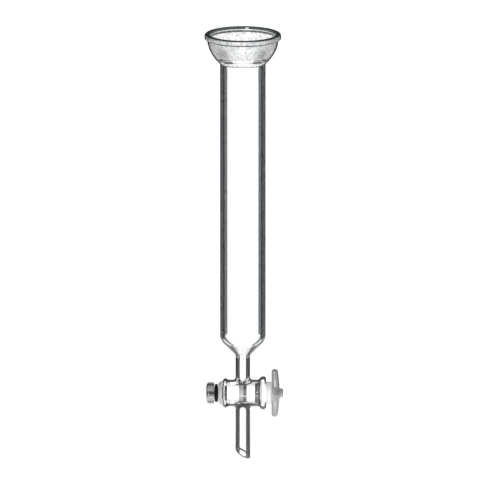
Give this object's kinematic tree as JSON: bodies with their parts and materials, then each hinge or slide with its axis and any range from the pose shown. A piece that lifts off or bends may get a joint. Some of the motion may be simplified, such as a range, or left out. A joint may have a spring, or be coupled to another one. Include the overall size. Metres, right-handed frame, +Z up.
{
  "type": "glass column funnel with stopcock",
  "caption": "Tall straight glass column funnel with a spherical ground socket at the top, a stopcock with a T-handle below its shoulder, and a slant-cut drip tip.",
  "frame": {"origin": "on the tube's axis, at the middle of the band where a stand's clamp grips the glass, 75 mm below the socket's rim", "axes": "+Z up along the column's axis, +X along the stopcock plug's axis towards the T-handle, -Y towards the viewer"},
  "size_m": [0.0605, 0.0588, 0.3372],
  "materials": {
    "clear_glass": "clear borosilicate glass, flame polished, with a ground zone inside the socket",
    "plug_white": "white PTFE, machined",
    "handle_white": "white moulded plastic, satin gloss",
    "seal_grey": "dark grey elastomer",
    "rubber_black": "black rubber"
  },
  "bodies": {
    "glass": {"socket_joint": "clear_glass", "column_tube": "clear_glass", "stopcock_barrel": "clear_glass", "drip_tip": "clear_glass"},
    "plug": {"stopcock_plug": "plug_white", "plug_seal_ring": "seal_grey", "keyed_washer": "plug_white", "t_handle": "handle_white"},
    "ring": {"tension_ring": "rubber_black"},
    "nut": {"tension_nut": "handle_white"}
  },
  "joints": [
    {"name": "plug_turn", "type": "hinge", "parent": "glass", "child": "plug", "pos_m": [0, 0, -0.2086], "axis": [1, 0, 0], "continuous": true},
    {"name": "nut_travel", "type": "slide", "parent": "plug", "child": "ring", "axis": [-1, 0, 0], "range_m": [0, 0.004]},
    {"name": "nut_turn", "type": "hinge", "parent": "ring", "child": "nut", "pos_m": [-0.025, 0, -0.2086], "axis": [-1, 0, 0], "range_deg": [0, 720]}
  ],
  "couplings": [
    {"joint": "nut_turn", "follows": "nut_travel", "rad_per_m": 3141.6}
  ]
}
